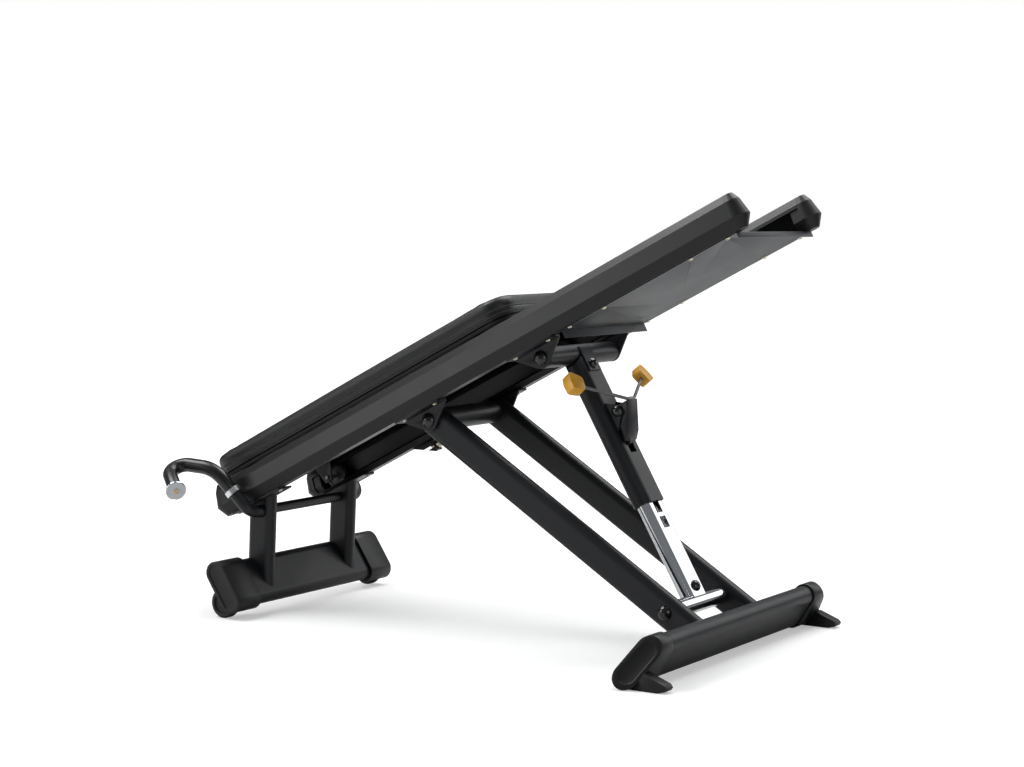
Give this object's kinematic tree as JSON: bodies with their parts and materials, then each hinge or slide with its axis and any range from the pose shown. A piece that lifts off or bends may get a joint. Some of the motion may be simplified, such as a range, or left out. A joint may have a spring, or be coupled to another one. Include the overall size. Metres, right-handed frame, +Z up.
{
  "type": "adjustable weight bench",
  "caption": "Incline press bench: a padded glideboard rolls on two inclined rails over folding legs, a latched telescoping column and bent press handles.",
  "frame": {"origin": "on the floor, at the centre of the bench's bounding box in plan", "axes": "+Z up, +X from the handle end to the high end of the rails, +Y to the left of someone looking up the rails"},
  "size_m": [1.598, 0.9992, 1.0918],
  "materials": {
    "black_coat": "matte black powder coat",
    "rail_anodised": "satin black anodised",
    "panel_sheet": "satin dark grey coat",
    "cap_plastic": "fine texture",
    "foot_plastic": "fine texture",
    "dome_black": "semi gloss dome covers",
    "screw_steel": "zinc plated",
    "bush_plastic": "smooth",
    "chrome": "polished",
    "rod_steel": "dark plated",
    "paddle_yellow": "moulded yellow",
    "wheel_plastic": "smooth tread",
    "roller_plastic": "smooth white",
    "grip_rubber": "soft foam rubber",
    "collar_aluminium": "turned",
    "disc_grey": "light grey",
    "pad_vinyl": "black upholstery vinyl over foam",
    "board_wood": "dark board"
  },
  "bodies": {
    "frame": {"rail_right": "rail_anodised", "rail_left": "rail_anodised", "rail_caps_high": "cap_plastic", "rail_caps_low": "cap_plastic", "frame_screws": "screw_steel", "underside_panel": "panel_sheet", "leg_brackets": "black_coat", "column_brackets": "black_coat", "pivot_bolts": "dome_black", "stand_post_right": "black_coat", "stand_post_left": "black_coat", "post_saddles": "black_coat", "stand_cross_bar": "black_coat", "stand_beam": "black_coat", "wheel_cover_right": "cap_plastic", "wheel_cover_left": "cap_plastic", "wheel_axles": "rod_steel", "handle_tube_right": "black_coat", "handle_tube_left": "black_coat", "grip_right": "grip_rubber", "grip_left": "grip_rubber", "grip_collars": "collar_aluminium", "grip_end_discs": "disc_grey", "accessory_bracket": "black_coat", "accessory_bolt": "screw_steel"},
    "leg_frame": {"leg_right": "black_coat", "leg_left": "black_coat", "leg_cross_tube": "black_coat", "leg_bushes": "bush_plastic", "foot_bolts": "dome_black", "rear_beam": "black_coat", "rear_cap_right": "cap_plastic", "rear_cap_left": "cap_plastic", "rear_feet": "foot_plastic"},
    "outer_column": {"column_cross_tube": "black_coat", "column_bushes": "bush_plastic", "column_outer": "black_coat", "column_saddle": "black_coat", "column_saddle_bolt": "dome_black", "column_guide": "bush_plastic", "latch_bracket": "black_coat", "latch_pin": "dome_black"},
    "inner_column": {"column_inner": "chrome", "foot_sleeve": "chrome", "column_foot_bolt": "dome_black"},
    "latch": {"latch_lever": "black_coat", "release_rods": "rod_steel", "paddle_right": "paddle_yellow", "paddle_left": "paddle_yellow"},
    "glideboard": {"pad": "pad_vinyl", "pad_board": "board_wood", "carriers": "black_coat", "roller_axles": "rod_steel"},
    "roller_low_right": {"roller_low_right": "roller_plastic"},
    "roller_low_left": {"roller_low_left": "roller_plastic"},
    "roller_high_right": {"roller_high_right": "roller_plastic"},
    "roller_high_left": {"roller_high_left": "roller_plastic"},
    "wheel_right": {"wheel_right": "wheel_plastic"},
    "wheel_left": {"wheel_left": "wheel_plastic"}
  },
  "joints": [
    {"name": "leg_fold", "type": "hinge", "parent": "frame", "child": "leg_frame", "pos_m": [-0.07404, 0, 0.52709], "axis": [0, 1, 0], "range_deg": [-35.25, 0]},
    {"name": "column_swing", "type": "hinge", "parent": "frame", "child": "outer_column", "pos_m": [0.24751, 0, 0.69555], "axis": [0, 1, 0], "range_deg": [-44.58, 0]},
    {"name": "column_slide", "type": "slide", "parent": "outer_column", "child": "inner_column", "axis": [0.5044, 0, -0.8634], "range_m": [-0.2005, 0]},
    {"name": "latch_release", "type": "hinge", "parent": "outer_column", "child": "latch", "pos_m": [0.37788, 0, 0.56557], "axis": [0, 1, 0], "range_deg": [-18, 0], "stiffness_Nm_per_rad": 4, "springref_deg": 14.32},
    {"name": "board_glide", "type": "slide", "parent": "frame", "child": "glideboard", "axis": [0.8858, 0, 0.4641], "range_m": [0, 0.6]},
    {"name": "roller_low_right_spin", "type": "hinge", "parent": "glideboard", "child": "roller_low_right", "pos_m": [-0.62285, -0.196, 0.31341], "axis": [0, 1, 0], "range_deg": [0, 1069]},
    {"name": "roller_low_left_spin", "type": "hinge", "parent": "glideboard", "child": "roller_low_left", "pos_m": [-0.62285, 0.196, 0.31341], "axis": [0, 1, 0], "range_deg": [0, 1069]},
    {"name": "roller_high_right_spin", "type": "hinge", "parent": "glideboard", "child": "roller_high_right", "pos_m": [0.08757, -0.196, 0.68559], "axis": [0, 1, 0], "range_deg": [0, 1069]},
    {"name": "roller_high_left_spin", "type": "hinge", "parent": "glideboard", "child": "roller_high_left", "pos_m": [0.08757, 0.196, 0.68559], "axis": [0, 1, 0], "range_deg": [0, 1069]},
    {"name": "wheel_right_spin", "type": "hinge", "parent": "frame", "child": "wheel_right", "pos_m": [-0.60035, -0.313, 0.038], "axis": [0, 1, 0], "continuous": true},
    {"name": "wheel_left_spin", "type": "hinge", "parent": "frame", "child": "wheel_left", "pos_m": [-0.60035, 0.313, 0.038], "axis": [0, 1, 0], "continuous": true}
  ],
  "couplings": [
    {"joint": "column_swing", "follows": "leg_fold", "ratio": 1.2631},
    {"joint": "column_slide", "follows": "leg_fold", "m_per_rad": 0.32504},
    {"joint": "roller_low_right_spin", "follows": "board_glide", "rad_per_m": 31.056},
    {"joint": "roller_low_left_spin", "follows": "board_glide", "rad_per_m": 31.056},
    {"joint": "roller_high_right_spin", "follows": "board_glide", "rad_per_m": 31.056},
    {"joint": "roller_high_left_spin", "follows": "board_glide", "rad_per_m": 31.056}
  ]
}
